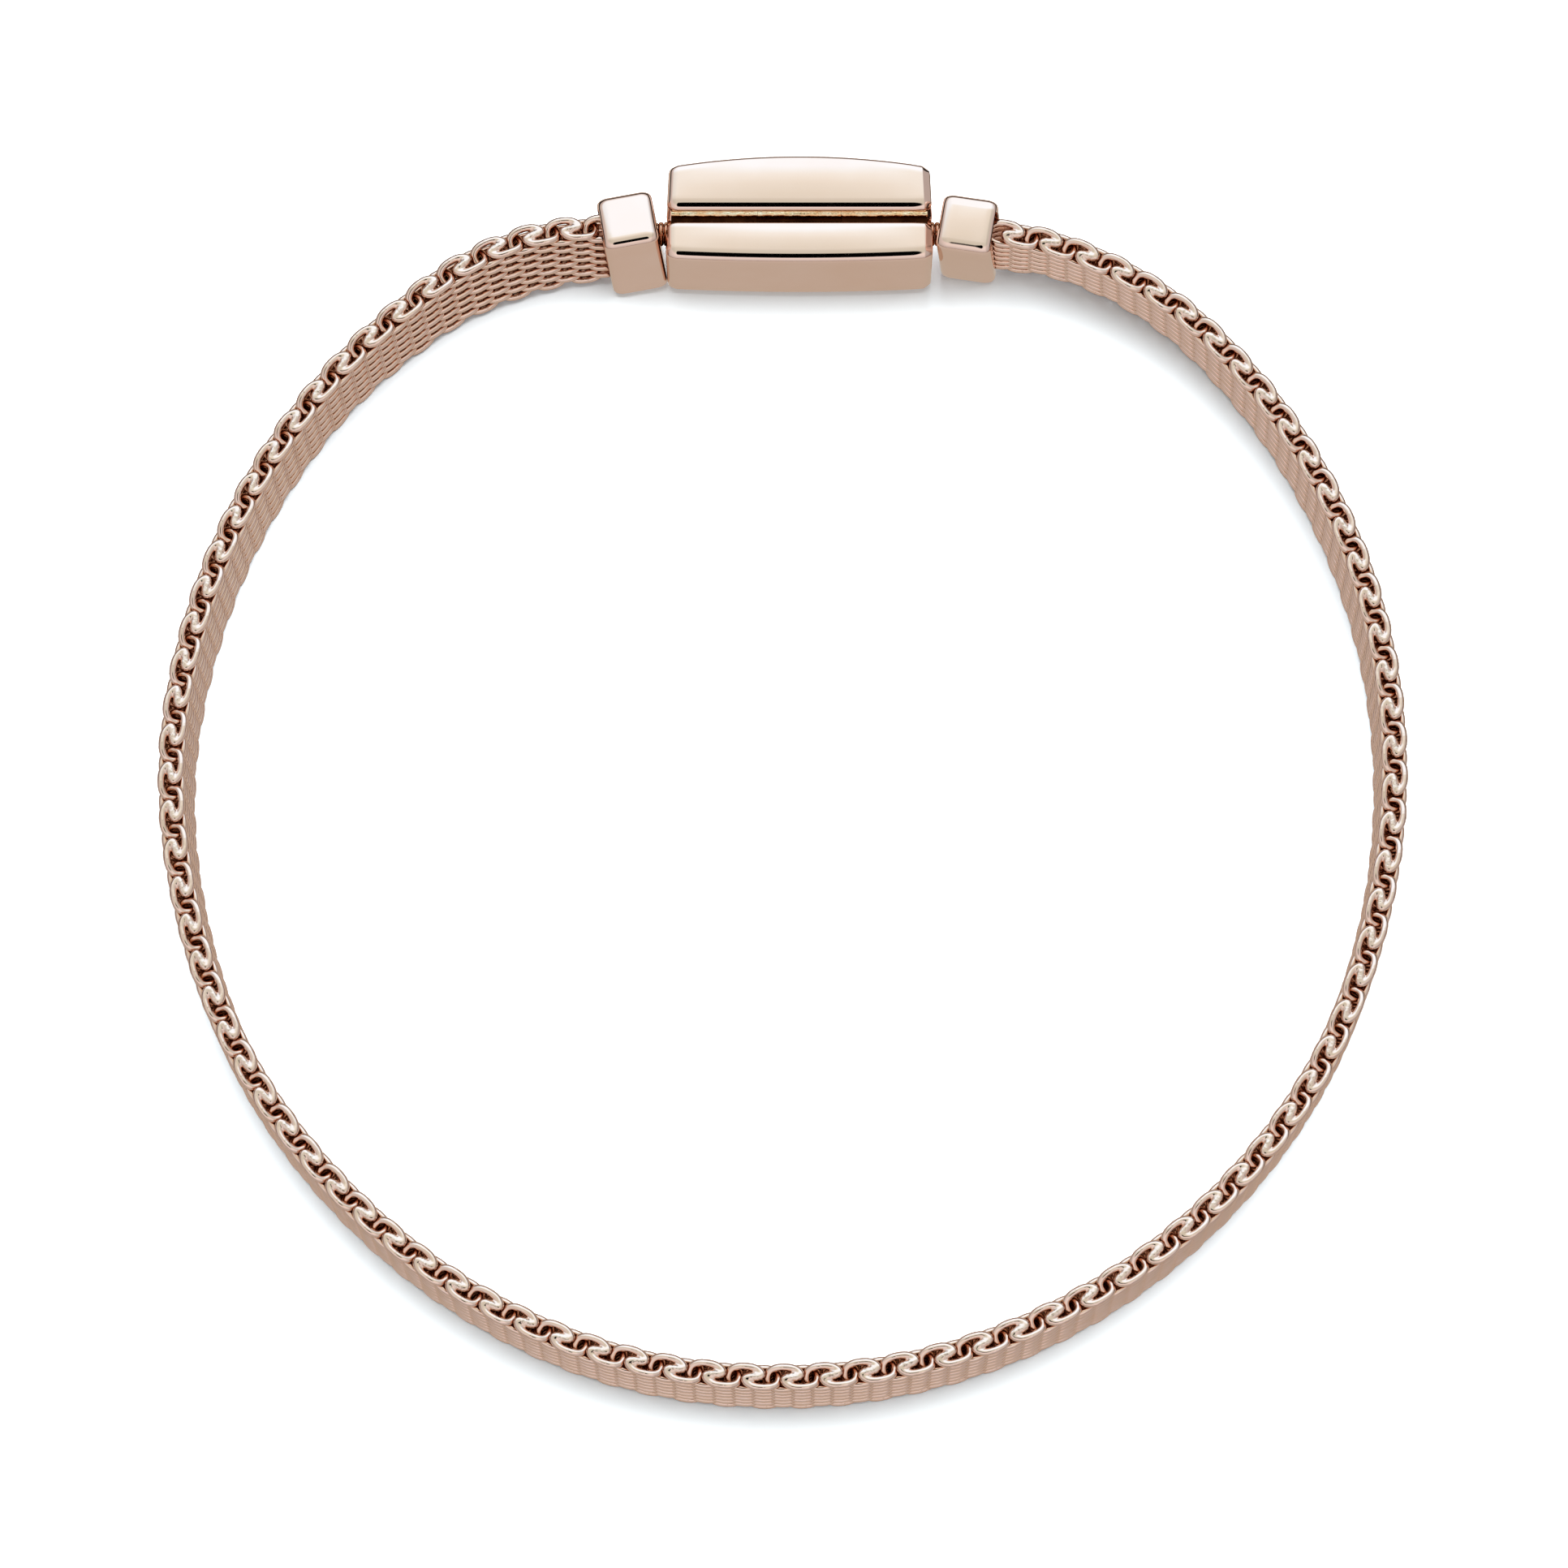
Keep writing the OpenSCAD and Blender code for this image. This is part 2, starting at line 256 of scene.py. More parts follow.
def join_path(sign, height, count):
    """The turn that is soldered shut, from one coil's crest to the next coil's, with its radii."""
    k = np.concatenate([JOIN_KEYS, JOIN_KEYS[-2::-1] * [-1, -1, 1]])
    t = np.concatenate([[0], np.cumsum(np.hypot(*np.diff(k[:, :2], axis=0).T))])
    u = np.linspace(0, t[-1], count)
    up = 1 if height > -1 else -1
    lift = 0.012 * np.sin(np.pi * u / t[-1]) ** 6 * up
    return np.stack([hermite(u, t, k[:, 0]), hermite(u, t, k[:, 1]) * sign,
                     np.full(count, height) + lift, hermite(u, t, k[:, 2])], -1)


def stub(sign, height, first):
    """A short run of wire past a crest, which ends inside the join."""
    q = join_path(sign, height, 60)[:6:2, :3]
    return q if first else (q * [-1, -1, 1])[::-1]


def wire_path():
    """Each coil's wire as points (along, outwards, upwards), and the places of the joins."""
    runs, joins = [], []
    outer = coil_down(+1)
    inner_up = coil_down(-1)[::-1]
    last = int(OPEN_N[-1])
    low = TOP - STEP * TURNS
    crest = np.array([JOIN_KEYS[0, 0], 0, 0])
    for j in range(0, last + 1):
        if j > 0:
            c = place(j - 0.75)
            tail = stub(-1, TOP, True) - crest
            head = stub(+1, low, False) + crest
            runs.append(np.concatenate([head[:-1], inner_up, tail[1:]]) + np.array([c, 0, 0]))
            joins.append((place(j - 0.5), TOP, -1))
        c = place(j - 0.25)
        head = stub(-1, TOP, False) + crest
        tail = stub(+1, low, True) - crest
        runs.append(np.concatenate([head[:-1], outer, tail[1:]]) + np.array([c, 0, 0]))
        if j < last:
            joins.append((place(j), low, +1))
    return runs, joins


def to_space(q):
    a = angle_at(q[:, 0])
    pts = on_band(a, q[:, 1], q[:, 2])
    up = on_band(a, q[:, 1], q[:, 2] + 0.5) - pts
    up /= np.linalg.norm(up, axis=1)[:, None]
    return pts, up


# ---------------------------------------------------------------- materials
def nodes_of(name):
    m = bpy.data.materials.new(name)
    m.use_nodes = True
    nt = m.node_tree
    return m, nt, nt.nodes["Principled BSDF"]


def add(nt, kind, **values):
    n = nt.nodes.new(kind)
    for k, v in values.items():
        if k in n.inputs:
            n.inputs[k].default_value = v
        else:
            setattr(n, k, v)
    return n


def gold(name, colour, worn, rough=(0.10, 0.2), scale=900.0, bump=0.06, grit=None, depth=0.00001,
         reach=0.0009, hollow_shade=(0.12, 0.03, 0.008), open_at=(0.12, 0.60), edge=(0.55, 0.40, 0.30),
         half=(0.86, 0.47, 0.24)):
    """Rose gold: colour and roughness that drift a little, fine marks, and painted shade that darkens the hollows."""
    m, nt, bsdf = nodes_of(name)
    bsdf.inputs["Metallic"].default_value = 1.0
    bsdf.inputs["IOR"].default_value = 1.45
    bsdf.inputs["Specular Tint"].default_value = (*edge, 1)
    co = add(nt, "ShaderNodeTexCoord")
    big = add(nt, "ShaderNodeTexNoise", Scale=scale, Detail=3.0, Roughness=0.55)
    nt.links.new(co.outputs["Object"], big.inputs["Vector"])
    ramp = add(nt, "ShaderNodeValToRGB")
    ramp.color_ramp.elements[0].position = 0.35
    ramp.color_ramp.elements[0].color = (*worn, 1)
    ramp.color_ramp.elements[1].position = 0.65
    ramp.color_ramp.elements[1].color = (*colour, 1)
    nt.links.new(big.outputs["Fac"], ramp.inputs["Fac"])
    # painted shade: ambient occlusion darkens and warms the base colour in the hollows
    ao = add(nt, "ShaderNodeAmbientOcclusion", Distance=reach)
    ao.samples = 6
    shade_ramp = add(nt, "ShaderNodeValToRGB")
    shade_ramp.color_ramp.elements[0].position = open_at[0]
    shade_ramp.color_ramp.elements[0].color = (*hollow_shade, 1)
    shade_ramp.color_ramp.elements[1].position = open_at[1]
    shade_ramp.color_ramp.elements[1].color = (1, 1, 1, 1)
    mid = shade_ramp.color_ramp.elements.new(open_at[0] + (open_at[1] - open_at[0]) * 0.5)
    mid.color = (*half, 1)
    nt.links.new(ao.outputs["AO"], shade_ramp.inputs["Fac"])
    shade_tint = add(nt, "ShaderNodeMix", data_type="RGBA", blend_type="MULTIPLY")
    shade_tint.inputs[0].default_value = 1.0
    nt.links.new(shade_ramp.outputs["Color"], shade_tint.inputs[6])
    nt.links.new(ramp.outputs["Color"], shade_tint.inputs[7])
    nt.links.new(shade_tint.outputs[2], bsdf.inputs["Base Color"])
    fine = add(nt, "ShaderNodeTexNoise", Scale=scale * 5, Detail=4.0, Roughness=0.6)
    nt.links.new(co.outputs["Object"], fine.inputs["Vector"])
    rr = add(nt, "ShaderNodeMapRange")
    rr.inputs["From Min"].default_value = 0.3
    rr.inputs["From Max"].default_value = 0.7
    rr.inputs["To Min"].default_value = rough[0]
    rr.inputs["To Max"].default_value = rough[1]
    nt.links.new(fine.outputs["Fac"], rr.inputs["Value"])
    nt.links.new(rr.outputs["Result"], bsdf.inputs["Roughness"])
    height = big
    if grit:
        cells = add(nt, "ShaderNodeTexVoronoi", Scale=grit)
        nt.links.new(co.outputs["Object"], cells.inputs["Vector"])
        mix = add(nt, "ShaderNodeMath", operation="ADD")
        nt.links.new(cells.outputs["Distance"], mix.inputs[0])
        nt.links.new(fine.outputs["Fac"], mix.inputs[1])
        height = mix
    bm = add(nt, "ShaderNodeBump", Strength=bump, Distance=depth)
    nt.links.new(height.outputs[0], bm.inputs["Height"])
    nt.links.new(bm.outputs["Normal"], bsdf.inputs["Normal"])
    return m


ROSE = (0.94, 0.70, 0.606)
ROSE_WORN = (0.92, 0.67, 0.565)
# the hollow colours, open_at and reach below tune the painted shade in each material's hollows
m_polished = gold("rose_gold_polished", ROSE, ROSE_WORN, rough=(0.035, 0.07), scale=260.0, bump=0.05,
                  reach=0.0003, open_at=(0.06, 0.50), edge=(0.88, 0.81, 0.74), hollow_shade=(0.30, 0.20, 0.15),
                  half=(0.80, 0.70, 0.63))
m_wire = gold("rose_gold_wire", ROSE, (0.91, 0.66, 0.54), rough=(0.07, 0.15),
              scale=1400.0, bump=0.25, depth=0.00002, open_at=(0.20, 0.66))
m_weld = gold("rose_gold_solder", (0.95, 0.74, 0.64), (0.92, 0.68, 0.57), rough=(0.14, 0.30),
              scale=2600.0, bump=0.5, grit=9000.0, depth=0.00002)
m_seam = gold("rose_gold_hinge", (1.0, 0.88, 0.64), (0.96, 0.62, 0.34), rough=(0.05, 0.14),
              scale=1500.0, bump=0.6, grit=5200.0, depth=0.00003, reach=0.0003, open_at=(0.0, 0.20))
# painted shade: a near-black material that stands in for the shadow in the hinge groove, put on the hinge leaves, the
# groove floor and the latch tongue
m_groove_shade = gold("groove_painted_shade", (0.05, 0.014, 0.005), (0.02, 0.005, 0.002), rough=(0.35, 0.5),
                scale=1500.0, bump=0.5, depth=0.00002)
m_neck = gold("rose_gold_neck", (0.92, 0.70, 0.58), (0.84, 0.58, 0.46), rough=(0.10, 0.22),
              scale=1200.0, bump=0.4, depth=0.00002)

# ---------------------------------------------------------------- build the band
def grounded(verts):
    """All the points, with those that would reach below the floor flattened onto it."""
    v = np.concatenate(verts)
    v[:, 2] = np.maximum(v[:, 2], 0.002)
    return v


runs, joins = wire_path()
SIDES = 10
CHUNKS = 5
split = np.linspace(0, len(runs), CHUNKS + 1).astype(int)
for c in range(CHUNKS):
    verts, quads, tris, base = [], [], [], 0
    for run in runs[split[c]:split[c + 1]]:
        pts, up = to_space(run)
        v, q = tube(pts, up, WIRE, SIDES)
        verts.append(v)
        quads.append(q + base)
        tris += caps(base, len(pts), SIDES)
        base += len(v)
    o = quad_object(f"mesh_wire_{c + 1}", grounded(verts), np.concatenate(quads), tris)
    o.data.materials.append(m_wire)
    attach(o, "bracelet")
    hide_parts("mesh_band")


def join_template(voxel):
    """One soldered turn as a closed skin, in millimetres: s, r and w about the join's middle."""
    path = join_path(1, 0.0, 40)
    verts, faces, base = [], [], 0
    rows, cols = 9, 14
    for s_, r_, w_, rad in path + [0, 0, 0, 0.008]:
        u = np.linspace(0, np.pi, rows)
        v = np.arange(cols) * 2 * np.pi / cols
        uu, vv = np.meshgrid(u, v, indexing="ij")
        ball = np.stack([s_ + rad * np.sin(uu) * np.cos(vv), r_ + rad * np.sin(uu) * np.sin(vv),
                         w_ + rad * np.cos(uu)], -1).reshape(-1, 3)
        verts.append(ball)
        for i in range(rows - 1):
            for k in range(cols):
                m = (k + 1) % cols
                faces.append([base + i * cols + k, base + (i + 1) * cols + k,
                              base + (i + 1) * cols + m, base + i * cols + m])
        base += len(ball)
    me = bpy.data.meshes.new("join_template")
    me.from_pydata(np.concatenate(verts).tolist(), [], faces)
    o = bpy.data.objects.new("join_template", me)
    bpy.context.scene.collection.objects.link(o)
    re = o.modifiers.new("skin", "REMESH")
    re.mode = "VOXEL"
    re.voxel_size = voxel
    re.adaptivity = 0.0
    sm = o.modifiers.new("soften", "SMOOTH")
    sm.factor = 0.5
    sm.iterations = 3
    bpy.context.view_layer.update()
    done = bpy.data.meshes.new_from_object(o.evaluated_get(bpy.context.evaluated_depsgraph_get()))
    v = np.empty(len(done.vertices) * 3)
    done.vertices.foreach_get("co", v)
    nrm = np.empty(len(done.vertices) * 3)
    done.vertices.foreach_get("normal", nrm)
    f = [list(p.vertices) for p in done.polygons]
    bpy.data.objects.remove(o)
    bpy.data.meshes.remove(me)
    bpy.data.meshes.remove(done)
    return v.reshape(-1, 3), nrm.reshape(-1, 3), np.array([g for g in f if len(g) == 4]), \
        np.array([g for g in f if len(g) == 3]).reshape(-1, 3)


def place_joins(name, voxel, which, sign):
    """The soldered turns along one edge, each a little different, as two objects."""
    template = join_template(voxel)
    rng = np.random.default_rng(11 if sign < 0 else 12)
    edge = [(c, w) for c, w, sg in joins if sg == which]
    place_some(name + "_1", template, edge[:len(edge) // 2], which, rng)
    place_some(name + "_2", template, edge[len(edge) // 2:], which, rng)


def place_some(name, template, edge, which, rng):
    v0, n0, q0, t0 = template
    verts, quads, tris, base = [], [], [], 0
    for c, w in edge:
        ph = rng.uniform(0, 6.28, 6)
        x, y, z = v0.T
        mid = np.exp(-((x / 0.42) ** 2 + (y / 0.26) ** 2))
        rough = (np.sin(17 * x + 9 * y + ph[0]) + np.sin(23 * y - 11 * z + ph[1])
                 + 0.7 * np.sin(31 * x - 19 * y + ph[2]) + 0.6 * np.sin(41 * z + 29 * x + ph[3]))
        v = v0 + n0 * (0.007 * rough * mid)[:, None]
        p = np.stack([c + v[:, 0], v[:, 1] * which, w + v[:, 2]], -1)
        verts.append(on_band(angle_at(p[:, 0]), p[:, 1], p[:, 2]))
        quads.append(q0 + base)
        if len(t0):
            tris.append(t0 + base)
        base += len(v0)
    quads = np.concatenate(quads)
    tris = np.concatenate(tris) if tris else np.zeros((0, 3), int)
    if which > 0:   # the mirror of a skin turns inside out unless its faces are turned too
        quads, tris = quads[:, ::-1], tris[:, ::-1]
    o = quad_object(name, grounded(verts), quads, tris)
    o.data.materials.append(m_wire)
    o.data.materials.append(m_weld)
    near = ((v0[:, 0] / 0.40) ** 2 + ((v0[:, 1] + 0.15 * v0[:, 0]) / 0.22) ** 2
            + 0.25 * np.sin(21 * v0[:, 0]) * np.sin(27 * v0[:, 1] + 1)) < 1.0
    tags = np.concatenate([near[q0].all(1)] * (len(quads) // len(q0))).astype(np.int32)
    tags = np.concatenate([tags, np.zeros(len(tris), np.int32)])
    o.data.polygons.foreach_set("material_index", tags)
    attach(o, "bracelet")
    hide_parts("mesh_band")
    return o


place_joins("mesh_joins_upper", 0.060, -1, -1)
place_joins("mesh_joins_lower", 0.080, +1, +1)

# ---------------------------------------------------------------- beads
BEAD_L, BEAD_D, BEAD_H = 2.74, 2.82, 6.0
BEADS = {"left": (-7.49, 26.96, 3.13, 9.5, -5.6, 3.0, -1), "right": (9.15, 27.18, 3.11, -9.5, 4.2, 3.0, 1)}
POCKET = 0.89


BREAK = 24.0   # where an edge's gentle part ends, in degrees from the flat


def edge_curve(gentle, tight, n1=5, n2=7):
    """An edge from its flat (0) to its side (90): distances in from the side and down from the flat."""
    sb, cb = math.sin(math.radians(BREAK)), math.cos(math.radians(BREAK))
    full = gentle * sb + tight * (1 - sb)
    out = []
    for phi in list(np.linspace(0, BREAK, n1)) + list(np.linspace(BREAK, 90, n2 + 1)[1:]):
        sp, cp = math.sin(math.radians(phi)), math.cos(math.radians(phi))
        if phi <= BREAK:
            out.append((full - gentle * sp, gentle * (1 - cp)))
        else:
            out.append((full - gentle * sb - tight * (sp - sb), gentle * (1 - cb) + tight * (cb - cp)))
    return out


def shrink(edge, inset):
    return max(edge[0] - inset, 0.03), max(edge[1] - inset, 0.02)


def end_stations(length, edge, n1=5, n2=7):
    """Places along a lofted body's end, with how far the section is drawn in at each."""
    return [(length / 2 - a, b) for a, b in edge_curve(*edge, n1, n2)][::-1]


def loft(stations, ring_of, flip=False):
    rings = [ring_of(x, inset) for x, inset in stations]
    n = len(rings[0])
    v = np.concatenate(rings)
    f = []
    for i in range(len(rings) - 1):
        for k in range(n):
            m = (k + 1) % n
            f.append([i * n + k, i * n + m, (i + 1) * n + m, (i + 1) * n + k])
    f.append(list(range(n))[::-1])
    f.append([(len(rings) - 1) * n + k for k in range(n)])
    return v, [g[::-1] for g in f] if flip else f


def full_stations(length, edge, inner):
    ends = end_stations(length, edge)
    reach = ends[-1][0]
    mid = [(x, 0.0) for x in np.linspace(reach, -reach, inner + 2)[1:-1]]
    return ends + mid + [(-x, i) for x, i in ends[::-1]]


def bead_shape():
    """A cushion-sided block: gentle then tight edges, and faces that swell a little."""
    edge = (0.90, 0.34)

    def ring(x, inset):
        y1, z1 = BEAD_D / 2 - inset, BEAD_H / 2 - inset
        swell = 0.02 * (1 - min((2 * x / BEAD_L) ** 2, 1.0))
        c = edge_curve(*shrink(edge, inset))
        quarter = [(y1 - a, z1 - b) for a, b in c]            # from the top face to the side face
        pts = []
        top_y = quarter[0][0]
        side_z = quarter[-1][1]
        pts += quarter
        pts += [(y1 + swell * (1 - t * t), side_z * t) for t in (0.75, 0.5, 0.25, 0, -0.25, -0.5, -0.75)]
        pts += [(y, -z) for y, z in quarter[::-1]]
        pts += [(top_y * t, -z1 - swell * (1 - t * t)) for t in (0.6, 0.2, -0.2, -0.6)]
        pts += [(-y, -z) for y, z in quarter]
        pts += [(-y1 - swell * (1 - t * t), side_z * t) for t in (-0.75, -0.5, -0.25, 0, 0.25, 0.5, 0.75)]
        pts += [(-y, z) for y, z in quarter[::-1]]
        pts += [(top_y * t, z1 + swell * (1 - t * t)) for t in (-0.6, -0.2, 0.2, 0.6)]
        p = np.array(pts)
        return np.stack([np.full(len(p), x), p[:, 0], p[:, 1]], -1)

    return loft(full_stations(BEAD_L, edge, 7), ring)


def apply_cuts(o, cutters):
    """Cuts each tool out of o and keeps the result as its mesh."""
    for c in cutters:
        mod = o.modifiers.new("cut", "BOOLEAN")
        mod.operation = "DIFFERENCE"
        mod.solver = "EXACT"
        mod.object = c
    bpy.context.view_layer.update()
    dg = bpy.context.evaluated_depsgraph_get()
    me = bpy.data.meshes.new_from_object(o.evaluated_get(dg))
    me.name = o.name
    old = o.data
    o.modifiers.clear()
    o.data = me
    bpy.data.meshes.remove(old)
    for c in cutters:
        old = c.data
        bpy.data.objects.remove(c)
        bpy.data.meshes.remove(old)


def finish_metal(o, angle=32):
    o.data.shade_smooth()
    o.data.set_sharp_from_angle(angle=math.radians(angle))
    w = o.modifiers.new("normals", "WEIGHTED_NORMAL")
    w.keep_sharp = True
    w.weight = 60


def block(name, size, centre, matrix=None):
    x, y, z = np.array(size) / 2
    v = np.array([[a * x, b * y, c * z] for a in (-1, 1) for b in (-1, 1) for c in (-1, 1)]) + centre
    f = [[0, 1, 3, 2], [4, 6, 7, 5], [0, 4, 5, 1], [2, 3, 7, 6], [0, 2, 6, 4], [1, 5, 7, 3]]
    if matrix is not None:
        v = np.array([matrix @ Vector(p) for p in v])
    return new_object(name, v, f, smooth=False)


def lathe(profile, steps):
    """Profile of (along, radius) turned round the X axis, closed at both ends."""
    pr = np.array(profile, float)
    th = np.arange(steps) * 2 * np.pi / steps
    v = np.stack([np.repeat(pr[:, 0], steps), (pr[:, 1:2] * np.cos(th)).ravel(),
                  (pr[:, 1:2] * np.sin(th)).ravel()], -1)
    f = []
    for i in range(len(pr) - 1):
        for k in range(steps):
            m = (k + 1) % steps
            f.append([i * steps + k, (i + 1) * steps + k, (i + 1) * steps + m, i * steps + m])
    f.append(list(range(steps)))
    f.append([(len(pr) - 1) * steps + k for k in range(steps)][::-1])
    return v, f


def rod(name, x0, x1, radius, y=0.0, z=0.0, steps=40):
    v, f = lathe([(x0, radius), (x1, radius)], steps)
    o = new_object(name, v + np.array([0, y, z]), f)
    return o


def bead_matrix(b):
    x, y, z, turn, lean, tip, _ = b
    return (Matrix.Translation((x, y, z)) @ Matrix.Rotation(math.radians(turn), 4, "Z")
            @ Matrix.Rotation(math.radians(lean), 4, "X") @ Matrix.Rotation(math.radians(-tip), 4, "Y"))


CLASP = (0.75, 27.48, 0.5)
CL, CH = 13.1, 5.0
NECK_R = 0.6
TOP_FALL = {"left": 0.0, "right": 0.05}
for side, b in BEADS.items():
    m = bead_matrix(b)
    v, f = bead_shape()
    # the right one's top falls a little towards the back
    v[:, 2] -= TOP_FALL[side] * v[:, 1] * np.clip(v[:, 2] / (BEAD_H / 2), 0, 1)
    v = np.array([m @ Vector(p) for p in v])
    o = new_object(f"bead_{side}", v, f)
    sgn = b[6]
    pocket = block("cut_pocket", (2 * POCKET, BAND_T + 0.36, BAND_W + 0.24), (sgn * BEAD_L / 2, 0, 0), m)
    hole = rod("cut_neck", -1.0, 1.0, NECK_R + 0.04, 0, 0, 48)
    hole.data.transform(Matrix.Translation(Vector((CLASP[0] + sgn * CL / 2, CLASP[1], CLASP[2] + CH / 2)) * MM))
    apply_cuts(o, [pocket, hole])
    o.data.materials.append(m_polished)
    finish_metal(o)
    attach(o, "bracelet")
    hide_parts(f"end_bead_{side}")

# ---------------------------------------------------------------- necks
WALL, KNOB_L, KNOB_R, CLEAR = 1.0, 1.15, 1.05, 0.07
for side, sgn in (("left", -1), ("right", 1)):
    x = CL / 2 - WALL - CLEAR
    prof = [(x - KNOB_L, 0.02), (x - KNOB_L, KNOB_R - 0.2), (x - KNOB_L + 0.06, KNOB_R - 0.06),
            (x - KNOB_L + 0.2, KNOB_R), (x - 0.1, KNOB_R), (x, KNOB_R - 0.1), (x, NECK_R)]
    # two turned beads of metal between the clasp and the bead
    lo, hi = CL / 2 - 0.12, CL / 2 + 0.40
    for k in range(2):
        c = lo + (hi - lo) * (k + 0.5) / 2
        w = (hi - lo) / 2
        for t in np.linspace(-90, 90, 7):
            prof.append((c + 0.5 * w * math.sin(math.radians(t)) * 0.96,
                         NECK_R - 0.10 + 0.10 * math.cos(math.radians(t))))
    prof += [(hi + 0.02, NECK_R - 0.05), (CL / 2 + 0.85, NECK_R - 0.05), (CL / 2 + 0.85, 0.02)]
    v, f = lathe(prof, 48)
    v = v * np.array([sgn, 1, 1])
    if sgn < 0:
        f = [g[::-1] for g in f]
    v = v + np.array([CLASP[0], CLASP[1], CLASP[2] + CH / 2])
    o = new_object(f"neck_{side}", v, f)
    o.data.materials.append(m_neck)
    finish_metal(o, 40)
    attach(o, "bracelet")
    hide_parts(f"link_{side}")

# ---------------------------------------------------------------- clasp
AXIS_Y, AXIS_Z, KNUCKLE_R = 0.345, CH - 0.45, 0.15
BARREL, MID = 12.6, 4.1


def arc(cy, cz, r, a0, a1, n):
    return [(cy + r * math.cos(math.radians(a)), cz + r * math.sin(math.radians(a)))
            for a in np.linspace(a0, a1, n)]


def half_ring(depth, inset, side, wall, lip, top, bottom, crown, cove):
    """Section of a clasp half across its length, always with as many points. It is drawn in by
    inset in its height and by side in its depth."""
    y0, z0, z1, y1 = 0.02 + side, inset, CH - inset, depth - side
    f = AXIS_Z - KNUCKLE_R
    rs = max(0.10 - inset, 0.02)
    t_edge = edge_curve(*shrink(top, inset))
    b_edge = edge_curve(*shrink(bottom, inset))
    l_edge = edge_curve(*shrink(lip, inset))
    w = wall + side
    pts = []
    pts += arc(y0 + rs, z0 + rs, rs, 180, 270, 4)
    a, b = y0 + rs, y1 - b_edge[0][0]
    pts += [(a + (b - a) * t, z0) for t in (0.25, 0.5, 0.75)]
    pts += [(y1 - p, z0 + q) for p, q in b_edge]
    a, b = z0 + b_edge[-1][1], z1 - t_edge[-1][1]
    pts += [(y1, a + (b - a) * t) for t in (0.2, 0.4, 0.6, 0.8)]
    pts += [(y1 - p, z1 - q) for p, q in t_edge[::-1]]
    a, b = y1 - t_edge[0][0], w + l_edge[0][0]
    for t in (0.1, 0.25, 0.42, 0.58, 0.75, 0.9):
        pts.append((a + (b - a) * t, z1 + crown * (1 - (2 * t - 1) ** 2)))
    pts += [(w + p, z1 - q) for p, q in l_edge]
    zc = z1 - l_edge[-1][1]
    pts += [(w + 0.50 * cove, zc - 0.04), (w + 0.86 * cove, zc - 0.10), (w + cove, zc - 0.17)]
    pts += [(w + cove, f - 0.05 - inset), (y0, f - 0.09 - inset)]
    a, b = f - 0.09 - inset, z0 + rs
    pts += [(y0, a + (b - a) * t) for t in (0.25, 0.5, 0.75)]
    return np.array(pts)


def clasp_half(face_l, depth, bow, wall, lip, end, top, bottom, crown, cove, outward):
    """A clasp half as verts and faces. outward is +1 for the outer half and -1 for the inner one,
    and cove is how far the wall under its seam edge stands back to clear the hinge barrel."""
    reach = CL / 2 - 0.3
    round_x, round_in = zip(*end_stations(CL, end)[::-1])

    def ring(x, inset):
        k = min((x / reach) ** 2, 1.0)
        side = float(np.interp(abs(x), round_x, round_in))
        q = half_ring(depth - bow * k, inset, side, wall, lip, top, bottom, crown * (1 - k), cove)
        sx = x * (1 - (1 - face_l / CL) * np.clip(q[:, 0] / depth, 0, 1))
        return np.stack([sx, outward * q[:, 0], q[:, 1]], -1)

    # the right end is cut by a flat chamfer, the left one is rounded
    plain = full_stations(CL, end, 29)
    cut = [(CL / 2 - a, b) for a, b in ((0, 0.313), (0.006, 0.287), (0.020, 0.262), (0.045, 0.2375), (0.060, 0.2271),
                                        (0.340, 0.0324), (0.355, 0.022), (0.371, 0.0115), (0.389, 0.0035), (0.41, 0.0))]
    n = len(end_stations(CL, end))
    return loft(cut + plain[n:], ring, flip=outward < 0)


def knob_cuts():
    out = []
    for sgn in (-1, 1):
        a = sgn * (CL / 2 - WALL - CLEAR - KNOB_L / 2)
        h = KNOB_L / 2 + CLEAR
        out.append(rod("cut_room", a - h, a + h, KNOB_R + CLEAR, 0, CH / 2, 56))
        b = sgn * CL / 2
        out.append(rod("cut_way", b - WALL - 0.5, b + WALL + 0.5, NECK_R + CLEAR, 0, CH / 2, 56))
    return out


def knuckle(x0, x1, steps=28):
    """A rolled knuckle with softly rounded ends and an uneven skin."""
    e = 0.012
    prof = [(x0, 0.02), (x0, KNUCKLE_R - e), (x0 + e * 0.3, KNUCKLE_R - e * 0.3), (x0 + e, KNUCKLE_R)]
    n = int((x1 - x0) / 0.12)
    for i in range(1, n):
        prof.append((x0 + e + (x1 - x0 - 2 * e) * i / n, KNUCKLE_R))
    prof += [(x1 - e, KNUCKLE_R), (x1 - e * 0.3, KNUCKLE_R - e * 0.3), (x1, KNUCKLE_R - e), (x1, 0.02)]
    v, f = lathe(prof, steps)
    ph = np.arctan2(v[:, 2], v[:, 1])
    x = v[:, 0]
    rough = (0.006 * np.sin(9.1 * x + 2 * ph) + 0.005 * np.sin(23.7 * x - 3 * ph + 1.0)
             + 0.004 * np.sin(51.0 * x + 5 * ph + 2.0))
    r = np.hypot(v[:, 1], v[:, 2])
    k = np.where(r > 0.1, (r + rough - 0.006) / np.maximum(r, 1e-6), 1.0)
    v[:, 1] *= k
    v[:, 2] *= k
    return v + np.array([0, AXIS_Y, AXIS_Z]), f


def merge(parts):
    verts, faces, base = [], [], 0
    for v, f in parts:
        verts.append(v)
        faces += [[i + base for i in g] for g in f]
        base += len(v)
    return np.concatenate(verts), faces


def box_part(x0, x1, y0, y1, z0, z1):
    v = np.array([[x, y, z] for x in (x0, x1) for y in (y0, y1) for z in (z0, z1)], float)
    f = [[0, 1, 3, 2], [4, 6, 7, 5], [0, 4, 5, 1], [2, 3, 7, 6], [0, 2, 6, 4], [1, 5, 7, 3]]
    return v, f


